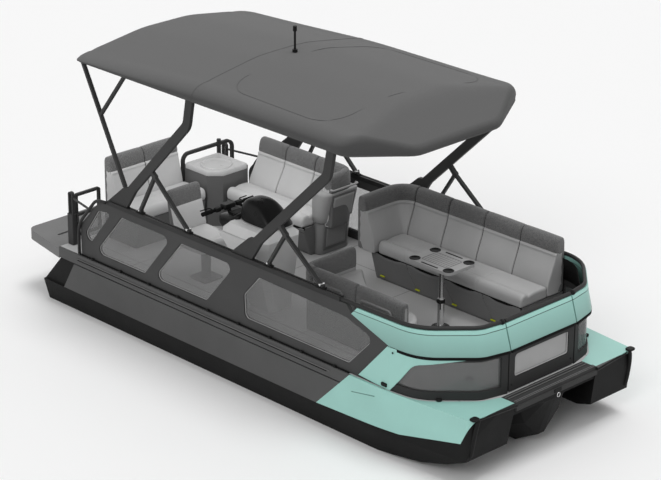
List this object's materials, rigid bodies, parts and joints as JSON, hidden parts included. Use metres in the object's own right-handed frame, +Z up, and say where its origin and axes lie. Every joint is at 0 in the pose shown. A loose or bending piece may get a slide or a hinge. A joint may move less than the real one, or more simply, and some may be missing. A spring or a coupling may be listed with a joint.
{
  "type": "pontoon boat",
  "caption": "Modular pontoon boat with side walls and windows, gates, seats, helm, table, jet drive and a framed fabric sun top.",
  "frame": {"origin": "centre of the overall length and beam, at the lowest point of the keels", "axes": "+X to the bow, +Y to port, +Z up"},
  "size_m": [6.55, 2.48, 3.37],
  "materials": {
    "hull_black": "fine textured black plastic",
    "shell_grey": "satin dark grey plastic",
    "cap_grey": "satin grey plastic",
    "deck_grey": "textured grey decking",
    "platform_grey": "ribbed grey decking",
    "wall_grey": "matte dark grey paint",
    "pane_smoke": "smoky tinted acrylic",
    "rail_grey": "matte dark grey paint",
    "mint": "satin mint plastic",
    "vinyl": "soft light grey vinyl",
    "seat_base": "matte dark grey plastic",
    "table_grey": "satin light grey",
    "post_metal": "satin tube",
    "console_grey": "satin light grey",
    "black_trim": "dark glossy plastic",
    "grip_black": "black rubber and painted tube",
    "jet_metal": "cast aluminium",
    "engine_grey": "plain block",
    "frame_silver": "dark grey powder coat",
    "canvas": "charcoal woven canvas",
    "mast_black": "black tube with lamp head"
  },
  "bodies": {
    "boat": {"hull_starboard": "hull_black", "hull_port": "hull_black", "hull_centre": "hull_black", "side_shell_starboard": "shell_grey", "side_shell_port": "shell_grey", "bow_cap_starboard": "mint", "bow_cap_port": "mint", "deck": "deck_grey", "bow_step": "cap_grey", "swim_platform": "platform_grey", "engine_block": "engine_grey", "jet_pump": "jet_metal", "side_wall_starboard": "wall_grey", "side_wall_port": "wall_grey", "windows_starboard": "pane_smoke", "windows_port": "pane_smoke", "top_rail_starboard": "rail_grey", "top_rail_port": "rail_grey", "bow_frame_starboard": "wall_grey", "bow_frame_port": "wall_grey", "bow_fairing_starboard": "mint", "bow_fairing_port": "mint", "lounge_base": "seat_base", "lounge_seat": "vinyl", "lounge_back": "vinyl", "bench_base": "seat_base", "bench_seat": "vinyl", "bench_back": "vinyl", "table_top": "table_grey", "table_post": "post_metal", "console_body": "console_grey", "console_dash": "black_trim", "helm_pedestal": "post_metal", "sofa_base": "seat_base", "sofa_seat": "vinyl", "sofa_back": "vinyl", "aft_bench_base": "seat_base", "aft_bench_seat": "vinyl", "aft_bench_back": "vinyl", "corner_unit": "console_grey", "stern_post_starboard": "wall_grey", "stern_post_port": "wall_grey", "stern_rail": "wall_grey", "top_arms_starboard": "frame_silver", "top_arms_port": "frame_silver", "top_struts_starboard": "post_metal", "top_struts_port": "post_metal", "top_bows": "post_metal", "canopy": "canvas", "light_mast": "mast_black"},
    "bow_gate": {"gate_frame": "wall_grey", "gate_window": "pane_smoke", "gate_fairing": "mint"},
    "stern_gate_leaf": {"stern_gate": "wall_grey"},
    "steering_bar": {"handlebar": "grip_black"},
    "steering_nozzle": {"jet_nozzle": "jet_metal"},
    "reverse_gate": {"reverse_bucket": "jet_metal"},
    "helm_chair": {"helm_seat": "vinyl"}
  },
  "joints": [
    {"name": "bow_gate_hinge", "type": "hinge", "parent": "boat", "child": "bow_gate", "pos_m": [2.95, -0.46, 1], "axis": [0, 0, 1], "range_deg": [0, 90]},
    {"name": "stern_gate_hinge", "type": "hinge", "parent": "boat", "child": "stern_gate_leaf", "pos_m": [-2.491, -1.042, 1], "axis": [0, 0, -1], "range_deg": [0, 90]},
    {"name": "steering_turn", "type": "hinge", "parent": "boat", "child": "steering_bar", "pos_m": [-0.555, -0.66, 1.57], "axis": [-0.4679, 0, 0.8838], "range_deg": [-35, 35]},
    {"name": "nozzle_turn", "type": "hinge", "parent": "boat", "child": "steering_nozzle", "pos_m": [-2.89, 0, 0.205], "axis": [0, 0, 1], "range_deg": [-20.01, 20.01]},
    {"name": "reverse_tilt", "type": "hinge", "parent": "boat", "child": "reverse_gate", "pos_m": [-2.795, 0, 0.205], "axis": [0, -1, 0], "range_deg": [0, 70]},
    {"name": "chair_swivel", "type": "hinge", "parent": "boat", "child": "helm_chair", "pos_m": [-0.9, -0.66, 1.04], "axis": [0, 0, 1], "range_deg": [-70, 70]}
  ],
  "couplings": [
    {"joint": "nozzle_turn", "follows": "steering_turn", "ratio": -0.5714}
  ]
}
